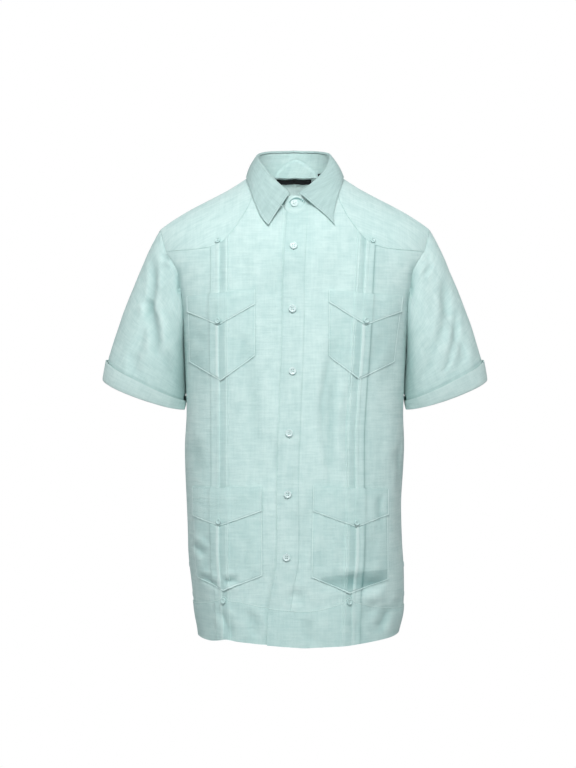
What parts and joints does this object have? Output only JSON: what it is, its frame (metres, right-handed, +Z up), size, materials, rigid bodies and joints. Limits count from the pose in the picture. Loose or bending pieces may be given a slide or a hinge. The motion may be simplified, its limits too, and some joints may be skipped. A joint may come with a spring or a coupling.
{
  "type": "camp shirt",
  "caption": "Short-sleeved camp shirt in pale mint linen: buttoned point collar, curved yoke, pin-tuck bands, flap pockets, turned-up cuffs, scalloped hem band and buttoned side vents.",
  "frame": {"origin": "inside the shirt between the shoulders, level with the foot of the collar at the sides of the neck, where the wearer's shoulders and neck hold it up", "axes": "+Z up the wearer, +Y towards the wearer's back, +X towards the wearer's left"},
  "size_m": [0.638, 0.2983, 0.8178],
  "materials": {
    "linen": "plain woven linen, matt, pale mint",
    "linen_trim": "the same linen where it is doubled or lies in layers, so a little deeper",
    "buttons": "pearly",
    "label": "woven satin tape, black"
  },
  "bodies": {
    "root": {"back": "linen", "front_left": "linen", "front_right": "linen", "yoke": "linen", "sleeve_left": "linen", "sleeve_right": "linen", "collar": "linen", "cuff_left": "linen_trim", "cuff_right": "linen_trim", "collar_stand": "linen_trim", "hem_band_left": "linen_trim", "hem_band_right": "linen_trim", "hem_band_back": "linen_trim", "pocket_chest_left": "linen_trim", "flap_chest_left": "linen_trim", "pocket_chest_right": "linen_trim", "flap_chest_right": "linen_trim", "pocket_hip_left": "linen_trim", "flap_hip_left": "linen_trim", "pocket_hip_right": "linen_trim", "flap_hip_right": "linen_trim", "button_front_1": "buttons", "button_front_2": "buttons", "button_front_3": "buttons", "button_front_4": "buttons", "button_front_5": "buttons", "button_front_6": "buttons", "button_neck": "buttons", "button_chest_left": "buttons", "button_chest_right": "buttons", "button_hip_left": "buttons", "button_hip_right": "buttons", "button_yoke_left": "buttons", "button_yoke_right": "buttons", "button_hem_left": "buttons", "button_hem_right": "buttons", "button_vent_left_1": "buttons", "button_vent_left_2": "buttons", "button_vent_left_3": "buttons", "button_vent_right_1": "buttons", "button_vent_right_2": "buttons", "button_vent_right_3": "buttons", "neck_label": "label", "size_tab": "label"}
  },
  "joints": []
}
